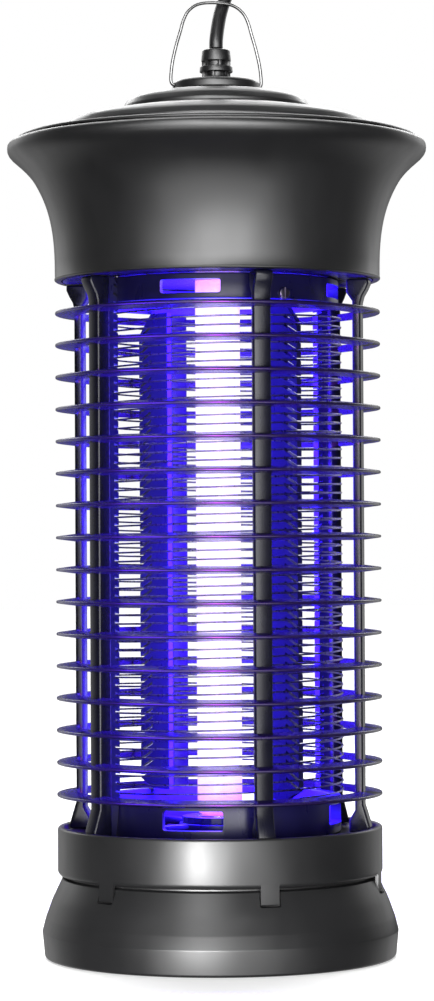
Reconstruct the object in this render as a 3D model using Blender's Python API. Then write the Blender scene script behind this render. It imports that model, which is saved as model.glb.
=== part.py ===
"""Electric bug zapper: a lantern with a finned guard, a UV lamp and a high-voltage wire grid.

Metres, +Z up. The origin is the centre of the tray's foot, the front is -Y, and the bail's
pivots lie along X. Outlines are lists of (radius, height) points that are turned about Z.
"""
from math import cos, pi, radians, sin

import bmesh
import bpy
from mathutils import Vector

GAP = 0.0003                    # between pieces that touch

# Guard
POST_PLACES = (0, 60, 107, 180, 240, 287)    # degrees from the front, towards +X
FINS = 16
FIN_PITCH = 0.01141
FIN_INNER = 0.0518
FIN_OUTER = 0.0580
FIN_TIP = 0.0008                # thickness at the outer edge
FIN_ROOT = 0.0028               # thickness at the inner edge
FIN_STEPS = 30
POST_INNER = 0.0473
POST_OUTER = 0.0512
POST_WIDTH = 0.0064
POST_FLARE = 0.0553             # how far the gussets at both ends reach out

# Tray and the ring above it
TRAY_RADIUS = 0.0635
TRAY_NECK = 0.0546
TRAY_WALL = 0.0022
RING_RADIUS = 0.05785
RING_BOTTOM = 0.0290
RING_TOP = 0.0462
RING_WALL = 0.00255
FLANGE_TOP = 0.0440
FLANGE_INNER = 0.0395
TABS = 6
TAB_WIDTH = 0.0066
TAB_THICK = 0.0011
TAB_BOTTOM = 0.0235

# Grid
FRAME_INNER = 0.0396
FRAME_OUTER = 0.0432
FRAME_BASE_TOP = 0.0570
FRAME_TOP_BOTTOM = 0.2310
WINDOWS = 4
SPOKE_ANGLE = radians(15)       # the first spoke of the lower frame, measured from +X
WIRE_CLEARANCE = 0.0008         # from combs to wires, whose sides run straight between points
COMB_WIDTH = 0.0020
INNER_COMB_REACH = 0.0280       # how near the lamp's axis the two deep combs come
INNER_COMB_PLACES = (202, 22)   # degrees from the front
OUTER_COMB_PLACES = (107, 287)  # these two stand against posts 3 and 6
OUTER_COMB_WIDTH = 0.0030
WIRE_HELIX = 0.0440
WIRE_RADIUS = 0.0004
WIRE_PITCH = 0.0062
WIRE_TURNS = 27.5
WIRE_START = 0.0582
WIRE_STEPS = 8                  # points for each turn

# Lamp (a 16 mm tube, 212 mm long with its caps)
LAMP_RADIUS = 0.0080
CAP_RADIUS = 0.0082
CAP_LENGTH = 0.0090
LAMP_BOTTOM = 0.0410
LAMP_TOP = 0.2530
PIN_RADIUS = 0.0011
PIN_LENGTH = 0.0060
PIN_OFFSET = 0.0024
HOLDER_RADIUS = 0.0108
HOLDER_FLANGE = 0.0135
HOLDER_DEPTH = 0.0080           # solid part behind the socket

# Housing and cover
HOUSING_BOTTOM = 0.2402
HOUSING_NECK = 0.0580
HOUSING_FLARE = 0.0168
HOUSING_RISE = 0.0470
HOUSING_WALL = 0.0022
PLATE_RADIUS = 0.0554
PLATE_THICK = 0.0020
COVER_TIERS = ((0.0715, 0.2900), (0.0560, 0.2927), (0.0335, 0.3010), (0.0156, 0.3081))
SHOULDER_STEPS = ((0.0004, 0.0017), (0.0024, 0.0037), (0.0059, 0.0053))  # in and up from a foot
COVER_THICK = 0.0020
COVER_BORE = 0.0040
GRIP_DEPTH = 0.0012
GRIP_HALF_ANGLE = radians(20)

# Hanger
COLLAR_RADIUS = 0.0156
COLLAR_TOP = 0.3116
PIVOT_HEIGHT = 0.3099
BAIL_WIRE = 0.0006
BAIL_HOLE = 0.0010
BAIL_END = 0.0125               # how near the axis the wire's ends come

# Cord
CORD_RADIUS = 0.00245
CORD_EXIT = 0.3234
CORD_TURN = radians(-17)        # the cord's plane, turned from +X
CORD_SAMPLES = 2                # points of the tube for each stretch of its route
CORD_ROUTE = (                  # along the cord's plane, across it, height
    (0.0000, 0.0000, 0.3238), (0.0001, 0.0002, 0.3270), (0.0008, 0.0021, 0.3325),
    (0.0018, 0.0042, 0.3375), (0.0036, 0.0060, 0.3430), (0.0078, 0.0076, 0.3520),
    (0.0165, 0.0082, 0.3612),
    (0.0290, 0.0062, 0.3675), (0.0440, 0.0015, 0.3692), (0.0585, -0.0052, 0.3655),
    (0.0710, -0.0132, 0.3565), (0.0798, -0.0212, 0.3435), (0.0850, -0.0282, 0.3270),
    (0.0873, -0.0330, 0.3060), (0.0880, -0.0355, 0.2780), (0.0880, -0.0360, 0.2300),
    (0.0880, -0.0360, 0.1800), (0.0880, -0.0360, 0.1300), (0.0880, -0.0360, 0.0860),
    (0.0880, -0.0355, 0.0540), (0.0882, -0.0330, 0.0330), (0.0889, -0.0265, 0.0155),
    (0.0904, -0.0160, 0.0058), (0.0926, -0.0036, 0.0033),
)
COIL_CENTRE = (0.1290, 0.0100)  # along and across the cord's plane
COIL_MIDDLE = 0.0285            # radius of the middle turns
COIL_HALF_WIDTH = 0.0074
COIL_BOTTOM = 0.0016
COIL_HEIGHT = 0.0099
COIL_LAST_TURN = 0.0334
TIE_THICK = 0.0010
TIE_WIDTH = 0.0050
PLUG_START = 0.0318             # across the cord's plane
PLUG_HEIGHT = 0.0073
PLUG_SECTIONS = (               # distance from the cord's end, half width, half height
    (0.0000, 0.0033, 0.0033), (0.0210, 0.0050, 0.0050), (0.0240, 0.0085, 0.0064),
    (0.0290, 0.0100, 0.0070), (0.0465, 0.0105, 0.0070), (0.0480, 0.0098, 0.0062),
)
BLADE_SIZE = (0.0015, 0.0170, 0.0063)
BLADE_SPACING = 0.0127

# Electronics in the housing
BOARD_SIZE = (0.0760, 0.0520, 0.0016)
BOARD_BOTTOM = 0.2637
BOSS_PLACE = (0.0330, 0.0210)
BOSS_RADIUS = 0.0035
TERMINAL_HEAD = 0.0030
TERMINAL_SHAFT = 0.0011
TERMINAL_HOLE = 0.0014
TERMINAL_REACH = 0.2360


def clear_scene():
    for thing in list(bpy.data.objects):
        bpy.data.objects.remove(thing, do_unlink=True)


def material(name, colour, roughness, metallic=0.0):
    made = bpy.data.materials.new(name)
    made.use_nodes = True
    shader = made.node_tree.nodes["Principled BSDF"]
    shader.inputs["Base Color"].default_value = (*colour, 1.0)
    shader.inputs["Roughness"].default_value = roughness
    shader.inputs["Metallic"].default_value = metallic
    return made


def mesh_object(name, bm, colour, origin=(0.0, 0.0, 0.0), smooth=True):
    """Turn a bmesh into an object with outward faces."""
    bmesh.ops.remove_doubles(bm, verts=bm.verts, dist=1e-6)
    bmesh.ops.recalc_face_normals(bm, faces=bm.faces)
    mesh = bpy.data.meshes.new(name)
    bm.to_mesh(mesh)
    bm.free()
    if smooth:
        mesh.shade_smooth()
        mesh.set_sharp_from_angle(angle=radians(35))
    made = bpy.data.objects.new(name, mesh)
    made.location = origin
    made.data.materials.append(colour)
    bpy.context.scene.collection.objects.link(made)
    return made


def turned(name, outline, steps, colour, closed=True, centre=(0.0, 0.0)):
    """Turn an outline of (radius, height) points about a vertical line.

    A closed outline makes a ring. An open one starts and ends on the line.
    """
    bm = bmesh.new()
    points = [bm.verts.new((radius, 0.0, height)) for radius, height in outline]
    edges = [bm.edges.new(pair) for pair in zip(points, points[1:])]
    if closed:
        edges.append(bm.edges.new((points[-1], points[0])))
    bmesh.ops.spin(bm, geom=points + edges, cent=(0, 0, 0), axis=(0, 0, 1),
                   angle=2 * pi, steps=steps, use_merge=True)
    return mesh_object(name, bm, colour, origin=(*centre, 0.0))


def cylinder(name, radius, bottom, top, place, steps, colour):
    outline = [(0.0, top), (radius, top), (radius, bottom), (0.0, bottom)]
    return turned(name, outline, steps, colour, closed=False, centre=place)


def block(name, size, centre, turn, colour, bevel=0.0):
    """A box of a size, centred on a point and turned about Z."""
    bm = bmesh.new()
    bmesh.ops.create_cube(bm, size=1.0)
    bmesh.ops.scale(bm, vec=size, verts=bm.verts)
    made = mesh_object(name, bm, colour, origin=centre, smooth=False)
    made.rotation_euler.z = turn
    if bevel:
        soften(made, bevel)
    return made


def soften(thing, width, segments=1):
    rounding = thing.modifiers.new("edges", "BEVEL")
    rounding.width = width
    rounding.segments = segments
    rounding.limit_method = "ANGLE"
    rounding.angle_limit = radians(35)


def combine(thing, others, operation):
    """Cut others out of a thing, or join them to it, and hide them."""
    for other in others:
        step = thing.modifiers.new(other.name, "BOOLEAN")
        step.operation = operation
        step.object = other
        other.hide_render = True
        other.display_type = "WIRE"


def smooth_path(points, samples):
    """Points along a smooth curve (Catmull-Rom) through a route's points."""
    route = [Vector(point) for point in points]
    route = [2 * route[0] - route[1], *route, 2 * route[-1] - route[-2]]
    path = []
    for before, start, end, after in zip(route, route[1:], route[2:], route[3:]):
        for step in range(samples):
            t = step / samples
            path.append(0.5 * (2 * start + (end - before) * t
                               + (2 * before - 5 * start + 4 * end - after) * t ** 2
                               + (3 * start - before - 3 * end + after) * t ** 3))
    path.append(route[-2])
    return path


def tube(name, path, radius, colour, resolution=2, origin=(0.0, 0.0, 0.0)):
    """A round bar along a path, with filled ends."""
    curve = bpy.data.curves.new(name, "CURVE")
    curve.dimensions = "3D"
    curve.bevel_depth = radius
    curve.bevel_resolution = resolution
    curve.use_fill_caps = True
    line = curve.splines.new("POLY")
    line.points.add(len(path) - 1)
    for point, place in zip(line.points, path):
        point.co = (*(Vector(place) - Vector(origin)), 1.0)
    curve.materials.append(colour)
    made = bpy.data.objects.new(name, curve)
    made.location = origin
    bpy.context.scene.collection.objects.link(made)
    return made


def around(count, start=0.0):
    """Equally spaced angles about Z, measured from +X."""
    return [start + 2 * pi * index / count for index in range(count)]


def polar(radius, angle, height=0.0):
    return (radius * cos(angle), radius * sin(angle), height)


def cord_place(along, across, height=0.0):
    """A point of the cord's plane in the object's own axes."""
    return (along * cos(CORD_TURN) - across * sin(CORD_TURN),
            along * sin(CORD_TURN) + across * cos(CORD_TURN), height)


def arc(centre_radius, centre_height, radius, start, end, count):
    """Points of an arc in an outline, angles in degrees from the outward direction."""
    angles = [radians(start + (end - start) * index / count) for index in range(count + 1)]
    return [(centre_radius + radius * cos(a), centre_height + radius * sin(a)) for a in angles]


def from_front(places):
    """Angles about Z from +X, for places given in degrees from the front."""
    return [radians(place - 90) for place in places]


def tab_angles():
    return around(TABS, start=-pi / 2)


def spoke_angles():
    return around(WINDOWS, start=SPOKE_ANGLE)


def make_tray(colour):
    """The cup that catches the insects: an upright foot, a cone and a neck in the ring."""
    foot_round = arc(TRAY_RADIUS - 0.002, 0.002, 0.002, -90, 0, 2)
    shoulder = [(TRAY_RADIUS, 0.0098), (0.0631, 0.0122), (0.0623, 0.0148), (0.0611, 0.0177)]
    cone = [(0.0596, 0.0205), (0.0584, 0.0234), (0.0564, 0.0277), (TRAY_NECK, 0.0284)]
    neck = [(TRAY_NECK, 0.0380), (TRAY_NECK - TRAY_WALL, 0.0380)]
    inside = [(TRAY_NECK - TRAY_WALL, 0.0262), (0.0604, 0.0120), (0.0604, TRAY_WALL),
              (0.0, TRAY_WALL)]
    outline = [(0.0, 0.0), *foot_round, *shoulder, *cone, *neck, *inside]
    tray = turned("collection_tray", outline, 40, colour, closed=False)
    depth = 0.0080
    pocket = RING_RADIUS - TAB_THICK - GAP
    cutters = [block(f"tab_pocket_{n}", (depth, TAB_WIDTH + 2 * GAP, depth),
                     polar(pocket + depth / 2, angle, TAB_BOTTOM - GAP + depth / 2), angle, colour)
               for n, angle in enumerate(tab_angles(), 1)]
    combine(tray, cutters, "DIFFERENCE")


def make_lower_ring(colour):
    """The band above the tray, with the flange that carries the posts and the grid."""
    inner = RING_RADIUS - RING_WALL
    outline = [(RING_RADIUS - 0.0016, RING_BOTTOM), (RING_RADIUS - 0.0004, RING_BOTTOM + 0.0006),
               (RING_RADIUS, RING_BOTTOM + 0.0020), (RING_RADIUS, RING_TOP - 0.0008),
               (RING_RADIUS - 0.0007, RING_TOP), (inner, RING_TOP), (inner, FLANGE_TOP),
               (FLANGE_INNER, FLANGE_TOP), (FLANGE_INNER, FLANGE_TOP - 0.002),
               (inner, FLANGE_TOP - 0.002), (inner, RING_BOTTOM)]
    ring = turned("lower_ring", outline, 40, colour)
    height = 0.0080
    # a tab's outer face stays just inside the band's flats, so that their faces never coincide
    middle = RING_RADIUS - 0.0002 - TAB_THICK / 2
    tabs = [block(f"tab_{n}", (TAB_THICK, TAB_WIDTH, height),
                  polar(middle, angle, TAB_BOTTOM + height / 2), angle, colour)
            for n, angle in enumerate(tab_angles(), 1)]
    combine(ring, tabs, "UNION")


def make_posts(colour):
    """Six uprights of one outline, flared into the ring below and the housing above."""
    bottom = FLANGE_TOP + GAP
    top = HOUSING_BOTTOM - GAP
    outline = [(POST_INNER, bottom), (POST_FLARE - 0.0006, bottom), (POST_FLARE - 0.0006, 0.0468),
               (POST_OUTER, 0.0540), (POST_OUTER, 0.2312), (POST_FLARE, 0.2380),
               (POST_FLARE, top), (POST_INNER, top)]
    for n, angle in enumerate(from_front(POST_PLACES), 1):
        bm = bmesh.new()
        face = bm.faces.new([bm.verts.new((radius, -POST_WIDTH / 2, height))
                             for radius, height in outline])
        side = bmesh.ops.extrude_face_region(bm, geom=[face])
        moved = [item for item in side["geom"] if isinstance(item, bmesh.types.BMVert)]
        bmesh.ops.translate(bm, vec=(0.0, POST_WIDTH, 0.0), verts=moved)
        post = mesh_object(f"guard_post_{n}", bm, colour, smooth=False)
        post.rotation_euler.z = angle
        soften(post, 0.0007)


def make_fins(colour):
    """Sixteen louvre rings, thin at the outer edge."""
    for n in range(1, FINS + 1):
        height = RING_TOP + n * FIN_PITCH
        outline = [(FIN_INNER, height - FIN_ROOT / 2), (FIN_OUTER, height - FIN_TIP / 2),
                   (FIN_OUTER, height + FIN_TIP / 2), (FIN_INNER, height + FIN_ROOT / 2)]
        turned(f"guard_fin_{n:02d}", outline, FIN_STEPS, colour)


def windows(prefix, bottom, top, colour):
    """Cutters for the four windows of a grid frame."""
    size = (0.0120, 0.0215, top - bottom)
    return [block(f"{prefix}_window_{n}", size, polar(FRAME_OUTER, angle, (bottom + top) / 2),
                  angle, colour)
            for n, angle in enumerate(around(WINDOWS, SPOKE_ANGLE + pi / WINDOWS), 1)]


def frame_ring(name, bottom, top, colour):
    outline = [(FRAME_INNER, bottom), (FRAME_OUTER, bottom), (FRAME_OUTER, top),
               (FRAME_INNER, top)]
    return turned(name, outline, 32, colour)


def make_grid_frames(colour):
    """The two insulating rings that hold the combs. The lower one carries the lampholder."""
    bottom = FLANGE_TOP + GAP
    deck = 0.0030
    hub_inner = HOLDER_RADIUS + GAP + 0.0001
    base = frame_ring("grid_base_frame", bottom, FRAME_BASE_TOP, colour)
    hub = turned("lamp_hub", [(hub_inner, bottom), (0.0145, bottom), (0.0145, bottom + deck),
                              (hub_inner, bottom + deck)], 24, colour)
    reach = FRAME_INNER + 0.0010 - 0.0130
    spokes = [block(f"spoke_{n}", (reach, 0.0040, deck - 0.0004),
                    polar(0.0130 + reach / 2, angle, bottom + deck / 2), angle, colour)
              for n, angle in enumerate(spoke_angles(), 1)]
    combine(base, [hub, *spokes], "UNION")
    combine(base, windows("base", 0.0476, 0.0545, colour), "DIFFERENCE")

    top = HOUSING_BOTTOM - GAP
    upper = frame_ring("grid_top_frame", FRAME_TOP_BOTTOM, top, colour)
    holes = [cylinder(f"terminal_hole_{n}", TERMINAL_HOLE, TERMINAL_REACH - 0.001, 0.2450,
                      polar((FRAME_INNER + FRAME_OUTER) / 2, angle)[:2], 10, colour)
             for n, angle in enumerate(spoke_angles()[::2], 1)]
    combine(upper, windows("top", 0.2330, 0.2378, colour), "DIFFERENCE")
    combine(upper, holes, "DIFFERENCE")
    return holes


def make_combs(colour):
    """Two deep combs inside the wires and two that press on them from outside."""
    bottom = FRAME_BASE_TOP + GAP
    top = FRAME_TOP_BOTTOM - GAP
    depth = WIRE_HELIX - WIRE_RADIUS - WIRE_CLEARANCE - INNER_COMB_REACH
    for n, angle in enumerate(from_front(INNER_COMB_PLACES), 1):
        block(f"grid_comb_{n}", (depth, COMB_WIDTH, top - bottom),
              polar(INNER_COMB_REACH + depth / 2, angle, (bottom + top) / 2), angle, colour)
    bottom = FLANGE_TOP + GAP
    top = HOUSING_BOTTOM - GAP
    inner = WIRE_HELIX + WIRE_RADIUS + GAP
    depth = POST_INNER - GAP - inner
    for n, angle in enumerate(from_front(OUTER_COMB_PLACES), 3):
        block(f"grid_comb_{n}", (depth, OUTER_COMB_WIDTH, top - bottom),
              polar(inner + depth / 2, angle, (bottom + top) / 2), angle, colour)


def make_grid_wires(colour):
    """Two wires wound side by side, half a turn apart."""
    count = round(WIRE_TURNS * WIRE_STEPS)
    first = from_front(INNER_COMB_PLACES)[0]
    for name, start in (("grid_wire_live", first), ("grid_wire_neutral", first + pi)):
        path = [polar(WIRE_HELIX, start + 2 * pi * step / WIRE_STEPS,
                      WIRE_START + WIRE_PITCH * step / WIRE_STEPS) for step in range(count + 1)]
        tube(name, path, WIRE_RADIUS, colour, resolution=0)


def make_lamp(glass, metal):
    """The tube and its two caps, each with two pins."""
    low = LAMP_BOTTOM + CAP_LENGTH + GAP
    high = LAMP_TOP - CAP_LENGTH - GAP
    outline = [(0.0, high), (LAMP_RADIUS - 0.0015, high), (LAMP_RADIUS, high - 0.0015),
               (LAMP_RADIUS, low + 0.0015), (LAMP_RADIUS - 0.0015, low), (0.0, low)]
    turned("uv_lamp_tube", outline, 24, glass, closed=False)
    for name, bottom, end, way in (("lamp_cap_lower", LAMP_BOTTOM, LAMP_BOTTOM, -1),
                                   ("lamp_cap_upper", LAMP_TOP - CAP_LENGTH, LAMP_TOP, 1)):
        cap = cylinder(name, CAP_RADIUS, bottom, bottom + CAP_LENGTH, (0.0, 0.0), 24, metal)
        ends = sorted((end - way * 0.001, end + way * PIN_LENGTH))
        pins = [cylinder(f"{name}_pin_{n}", PIN_RADIUS, *ends, (side * PIN_OFFSET, 0.0), 8, metal)
                for n, side in enumerate((-1, 1), 1)]
        combine(cap, pins, "UNION")


def make_lampholders(colour):
    """Two sockets that hold the lamp's caps, each with a flange to fix it by."""
    socket = CAP_RADIUS + GAP
    low = LAMP_BOTTOM - GAP
    high = LAMP_TOP + GAP
    shelf = FLANGE_TOP + 2 * GAP + 0.0030
    plate = HOUSING_BOTTOM + PLATE_THICK + GAP
    lower = [(0.0, low), (socket, low), (socket, shelf + 0.002), (HOLDER_FLANGE, shelf + 0.002),
             (HOLDER_FLANGE, shelf), (HOLDER_RADIUS, shelf), (HOLDER_RADIUS, low - HOLDER_DEPTH),
             (0.0, low - HOLDER_DEPTH)]
    upper = [(0.0, high + HOLDER_DEPTH), (HOLDER_RADIUS, high + HOLDER_DEPTH),
             (HOLDER_RADIUS, plate + 0.002), (HOLDER_FLANGE, plate + 0.002),
             (HOLDER_FLANGE, plate), (socket, plate), (socket, high), (0.0, high)]
    for name, outline, end, way in (("lampholder_lower", lower, low, -1),
                                    ("lampholder_upper", upper, high, 1)):
        holder = turned(name, outline, 24, colour, closed=False)
        ends = sorted((end - way * 0.001, end + way * (PIN_LENGTH + 0.0005)))
        sockets = [cylinder(f"{name}_hole_{n}", PIN_RADIUS + GAP, *ends,
                            (side * PIN_OFFSET, 0.0), 8, colour)
                   for n, side in enumerate((-1, 1), 1)]
        combine(holder, sockets, "DIFFERENCE")


def housing_radius(height):
    """The flare of the bell: straight at the guard, opening out as a cube."""
    rise = min(max((height - HOUSING_BOTTOM) / HOUSING_RISE, 0.0), 1.0)
    return HOUSING_NECK + HOUSING_FLARE * rise ** 3


def make_housing(colour):
    steps = 6
    levels = [HOUSING_BOTTOM + HOUSING_RISE * (i / steps) ** 0.8 for i in range(steps + 1)]
    outer = [(housing_radius(z), z) for z in levels]
    rim = arc(outer[-1][0] - 0.0011, levels[-1] + 0.0011, 0.0011, 20, 160, 3)
    inner = [(r - HOUSING_WALL, z) for r, z in reversed(outer)]
    turned("housing", [*outer, *rim, *inner], 40, colour)


def make_chassis_plate(colour, terminal_holes):
    """The plate that closes the housing below, with bosses for the driver board."""
    bottom = HOUSING_BOTTOM
    top = bottom + PLATE_THICK
    bore = CAP_RADIUS + 0.0006
    outline = [(bore, bottom), (PLATE_RADIUS, bottom), (PLATE_RADIUS, top), (bore, top)]
    plate = turned("chassis_plate", outline, 36, colour)
    bosses = [cylinder(f"boss_{i}_{j}", BOSS_RADIUS, top - 0.0006, BOARD_BOTTOM - GAP,
                       (i * BOSS_PLACE[0], j * BOSS_PLACE[1]), 10, colour)
              for i in (-1, 1) for j in (-1, 1)]
    combine(plate, bosses, "UNION")
    combine(plate, terminal_holes, "DIFFERENCE")


def make_cover(colour):
    """The stepped cover, with a shallow grip recess at each side."""
    edge, step, shelf, crown = COVER_TIERS
    t = COVER_THICK
    outer = [(COVER_BORE, crown[1]), crown]
    inner = [(edge[0] - t, edge[1] - 0.0025), (edge[0] - t, edge[1] - t)]
    for radius, foot in (shelf, step):
        outer += [(radius - back, foot + rise) for back, rise in reversed(SHOULDER_STEPS)]
        outer.append((radius, foot))
    for radius, foot in (step, shelf):
        inner.append((radius - t, foot - t))
        inner += [(radius - t - 0.8 * back, foot - t + rise) for back, rise in SHOULDER_STEPS]
    outer += [(edge[0] - 0.0006, edge[1]), (edge[0], edge[1] - 0.0006),
              (edge[0], edge[1] - 0.0025)]
    inner.append((COVER_BORE, crown[1] - t))
    cover = turned("top_cover", [*outer, *inner], 40, colour)
    low, high = step[1] + 0.0009, step[1] + 0.0030
    span = 2 * step[0] * sin(GRIP_HALF_ANGLE)
    for n, side in enumerate((-1, 1), 1):
        face = [(step[0] - GRIP_DEPTH, low), (step[0] + 0.005, low), (step[0] + 0.005, high),
                (step[0] - GRIP_DEPTH, high)]
        band = turned(f"grip_band_{n}", face, 40, colour)
        reach = block(f"grip_reach_{n}", (0.030, span, 0.020),
                      (side * step[0], 0.0, (low + high) / 2), 0.0, colour)
        combine(band, [reach], "INTERSECT")
        combine(cover, [band], "DIFFERENCE")


def make_collar(colour):
    """The boss on the cover that the bail pivots in."""
    bottom = COVER_TIERS[3][1] + GAP
    outline = [(COVER_BORE, bottom), (COLLAR_RADIUS, bottom), (COLLAR_RADIUS, COLLAR_TOP - 0.0010),
               (COLLAR_RADIUS - 0.0008, COLLAR_TOP - 0.0003), (COLLAR_RADIUS - 0.0026, COLLAR_TOP),
               (COVER_BORE, COLLAR_TOP)]
    collar = turned("hanger_collar", outline, 32, colour)
    length = 0.0080
    for n, side in enumerate((-1, 1), 1):
        hole = cylinder(f"pivot_hole_{n}", BAIL_HOLE, -length / 2, length / 2, (0.0, 0.0), 12,
                        colour)
        hole.rotation_euler.y = pi / 2
        hole.location = (side * (BAIL_END - 0.0005 + length / 2), 0.0, PIVOT_HEIGHT)
        combine(collar, [hole], "DIFFERENCE")


def make_bail(colour):
    """A bent wire arch whose ends turn in to the collar. It swings about X."""
    half = [(BAIL_END, 0.0, PIVOT_HEIGHT), (0.0148, 0.0, PIVOT_HEIGHT),
            (0.0164, 0.0, PIVOT_HEIGHT + 0.0005), (0.0169, 0.0, 0.3125), (0.0163, 0.0, 0.3180),
            (0.0149, 0.0, 0.3240), (0.0134, 0.0, 0.3290), (0.0120, 0.0, 0.3336),
            (0.0100, 0.0, 0.3370), (0.0062, 0.0, 0.3394)]
    top = (0.0, 0.0, 0.3401)
    left = [(-x, y, z) for x, y, z in half]
    path = smooth_path([*left, top, *reversed(half)], 2)
    tube("hanging_bail", path, BAIL_WIRE, colour, resolution=1, origin=(0, 0, PIVOT_HEIGHT))


def make_strain_relief(colour):
    """The moulded relief on the collar: three discs, two slots and a neck through the cover."""
    neck = COVER_BORE - 0.0004
    levels = (COLLAR_TOP + GAP, 0.3149, 0.3167, 0.3186, 0.3202, CORD_EXIT)
    foot, low, mid, high, cap, top = levels
    outline = [(0.0, 0.3000), (neck, 0.3000), (neck, foot), (0.0058, foot), (0.0060, low),
               (neck, low), (neck, mid), (0.00575, mid), (0.00565, high), (neck, high),
               (neck, cap), (0.00525, cap), (0.0050, top - 0.0012), (0.0036, top), (0.0, top)]
    turned("strain_relief", outline, 20, colour, closed=False)


def make_cord(rubber, colour_tie):
    """The supply cord: its free stretch, the coil of the rest, and the tie round the coil."""
    route = [cord_place(*point) for point in CORD_ROUTE]
    tube("supply_cord", smooth_path(route, CORD_SAMPLES), CORD_RADIUS, rubber)
    low, high = COIL_BOTTOM, COIL_BOTTOM + COIL_HEIGHT
    inner, outer = COIL_MIDDLE - COIL_HALF_WIDTH, COIL_MIDDLE + COIL_HALF_WIDTH
    cut = 0.0015
    outline = [(inner, low + cut), (inner + cut, low), (outer - cut, low), (outer, low + cut),
               (outer, high - cut), (outer - cut, high), (inner + cut, high), (inner, high - cut)]
    centre = cord_place(*COIL_CENTRE)
    turned("cord_coil", outline, 28, rubber, centre=centre[:2])

    size = (2 * (COIL_HALF_WIDTH + GAP), 2 * TIE_WIDTH, COIL_HEIGHT + 2 * GAP)
    loop = (size[0] + 2 * TIE_THICK, TIE_WIDTH, size[2] + 2 * TIE_THICK)
    place = cord_place(COIL_CENTRE[0] + COIL_MIDDLE, COIL_CENTRE[1], (low + high) / 2)
    tie = block("cord_tie", loop, place, CORD_TURN, colour_tie)
    combine(tie, [block("tie_inside", size, place, CORD_TURN, colour_tie)], "DIFFERENCE")


def make_plug(rubber, metal):
    """A moulded two-blade plug, lying beside the coil with its own tapered relief."""
    bm = bmesh.new()
    corners = around(12, pi / 12)
    rings = []
    for distance, half_width, half_height in PLUG_SECTIONS:
        squareness = min(1.0, (distance / 0.024) ** 2)
        power = 1.0 - 0.45 * squareness
        points = [(half_width * abs(cos(a)) ** power * (1 if cos(a) > 0 else -1), distance,
                   half_height * abs(sin(a)) ** power * (1 if sin(a) > 0 else -1))
                  for a in corners]
        rings.append([bm.verts.new(point) for point in points])
    for first, second in zip(rings, rings[1:]):
        for n in range(len(corners)):
            bm.faces.new((first[n - 1], first[n], second[n], second[n - 1]))
    bm.faces.new(rings[0])
    bm.faces.new(rings[-1])
    across = COIL_CENTRE[0] - COIL_LAST_TURN
    plug = mesh_object("mains_plug", bm, rubber,
                       origin=cord_place(across, PLUG_START, PLUG_HEIGHT))
    plug.rotation_euler.z = CORD_TURN
    start = PLUG_START + PLUG_SECTIONS[-1][0] + GAP + BLADE_SIZE[1] / 2
    for n, side in enumerate((-1, 1), 1):
        block(f"plug_blade_{n}", BLADE_SIZE,
              cord_place(across + side * BLADE_SPACING / 2, start, PLUG_HEIGHT), CORD_TURN, metal)


def make_electronics(board, dark, metal, rubber):
    """The driver board on its bosses, its largest parts and the leads that join it up."""
    top = BOARD_BOTTOM + BOARD_SIZE[2] + GAP
    block("driver_board", BOARD_SIZE, (0.0, 0.0, BOARD_BOTTOM + BOARD_SIZE[2] / 2), 0.0, board)
    parts = (("step_up_transformer", (0.026, 0.022, 0.018), (-0.018, 0.0)),
             ("film_capacitor", (0.018, 0.007, 0.012), (0.008, -0.016)),
             ("terminal_block", (0.010, 0.020, 0.010), (0.030, 0.0)))
    for name, size, place in parts:
        block(name, size, (*place, top + size[2] / 2), 0.0, dark, bevel=0.0008)
    cylinder("reservoir_capacitor", 0.005, top, top + 0.016, (0.008, 0.012), 14, dark)
    lead = [(0.0, 0.0, 0.2997), (0.0012, 0.0, 0.2940), (0.0070, 0.0, 0.2868),
            (0.0160, 0.0, 0.2830), (0.0240, 0.0, 0.2812), (0.0290, 0.0, 0.2790)]
    tube("inner_supply_lead", smooth_path(lead, 2), CORD_RADIUS, rubber)
    plate = HOUSING_BOTTOM + PLATE_THICK + GAP
    middle = (FRAME_INNER + FRAME_OUTER) / 2
    for name, angle in zip(("live", "neutral"), spoke_angles()[::2]):
        outline = [(0.0, plate + 0.0022), (TERMINAL_HEAD, plate + 0.0022), (TERMINAL_HEAD, plate),
                   (TERMINAL_SHAFT, plate), (TERMINAL_SHAFT, TERMINAL_REACH),
                   (0.0, TERMINAL_REACH)]
        turned(f"{name}_terminal", outline, 12, metal, closed=False,
               centre=polar(middle, angle)[:2])
        ends = (polar(middle, angle, plate + 0.0025), polar(middle, angle, 0.2500),
                polar(middle - 0.006, angle, 0.2570), polar(middle - 0.009, angle, 0.2624))
        tube(f"{name}_lead", smooth_path(ends, 2), 0.0009, rubber, resolution=0)


def build():
    clear_scene()
    charcoal = material("satin_charcoal_plastic", (0.045, 0.047, 0.052), 0.38)
    louvre = material("gloss_black_plastic", (0.018, 0.019, 0.022), 0.25)
    insulator = material("blue_black_insulator", (0.03, 0.04, 0.09), 0.40)
    steel = material("steel_wire", (0.62, 0.63, 0.66), 0.25, 1.0)
    glass = material("lamp_glass", (0.80, 0.76, 1.00), 0.15)
    rubber = material("black_cord_rubber", (0.02, 0.02, 0.022), 0.55)
    brass = material("brass", (0.80, 0.62, 0.32), 0.28, 1.0)
    circuit = material("circuit_board", (0.02, 0.16, 0.07), 0.45)
    make_tray(charcoal)
    make_lower_ring(charcoal)
    make_posts(louvre)
    make_fins(louvre)
    holes = make_grid_frames(insulator)
    make_combs(insulator)
    make_grid_wires(steel)
    make_lamp(glass, steel)
    make_lampholders(insulator)
    make_housing(charcoal)
    make_chassis_plate(louvre, holes)
    make_cover(charcoal)
    make_collar(charcoal)
    make_bail(steel)
    make_strain_relief(rubber)
    make_cord(rubber, charcoal)
    make_plug(rubber, brass)
    make_electronics(circuit, louvre, brass, rubber)


build()
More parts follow.
